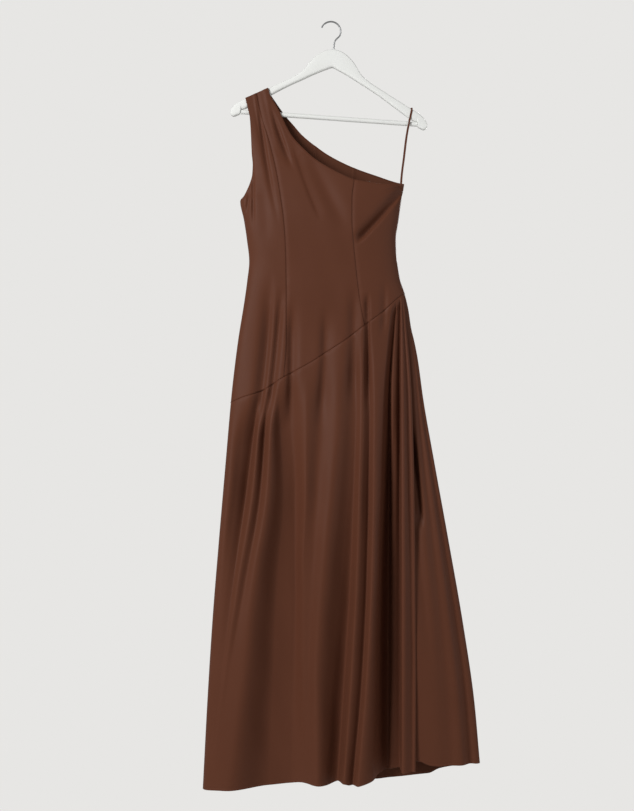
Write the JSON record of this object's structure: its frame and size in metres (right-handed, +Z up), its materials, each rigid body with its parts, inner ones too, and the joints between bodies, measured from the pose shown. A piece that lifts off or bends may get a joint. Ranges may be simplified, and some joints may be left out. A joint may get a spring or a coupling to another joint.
{
  "type": "one-shoulder dress on a hanger",
  "caption": "Floor-length one-shoulder dress in brown satin with a slanting waist seam and a side slit, hanging on a white wooden hanger with a trouser bar.",
  "frame": {"origin": "inner top of the hanger's hook, where it hangs on its pin or rail", "axes": "+Z up, -Y out of the front of the dress towards the viewer, +X to the right seen from the front, the side of the slit"},
  "size_m": [0.603, 0.0995, 1.6675],
  "materials": {
    "satin": "soft-sheen brown polyester satin",
    "ribbon": "satin ribbon in the dress's brown",
    "painted_wood": "white lacquer, semi-matt",
    "steel_wire": "bright plated wire"
  },
  "bodies": {
    "root": {"bodice_front_strap_side": "satin", "bodice_front_centre": "satin", "bodice_front_open_side": "satin", "bodice_back_strap_side": "satin", "bodice_back_centre": "satin", "bodice_back_open_side": "satin", "skirt_front": "satin", "skirt_back": "satin", "hanger_loop": "ribbon", "hanger_body": "painted_wood", "hanger_bar": "painted_wood", "hanger_hook": "steel_wire"}
  },
  "joints": []
}
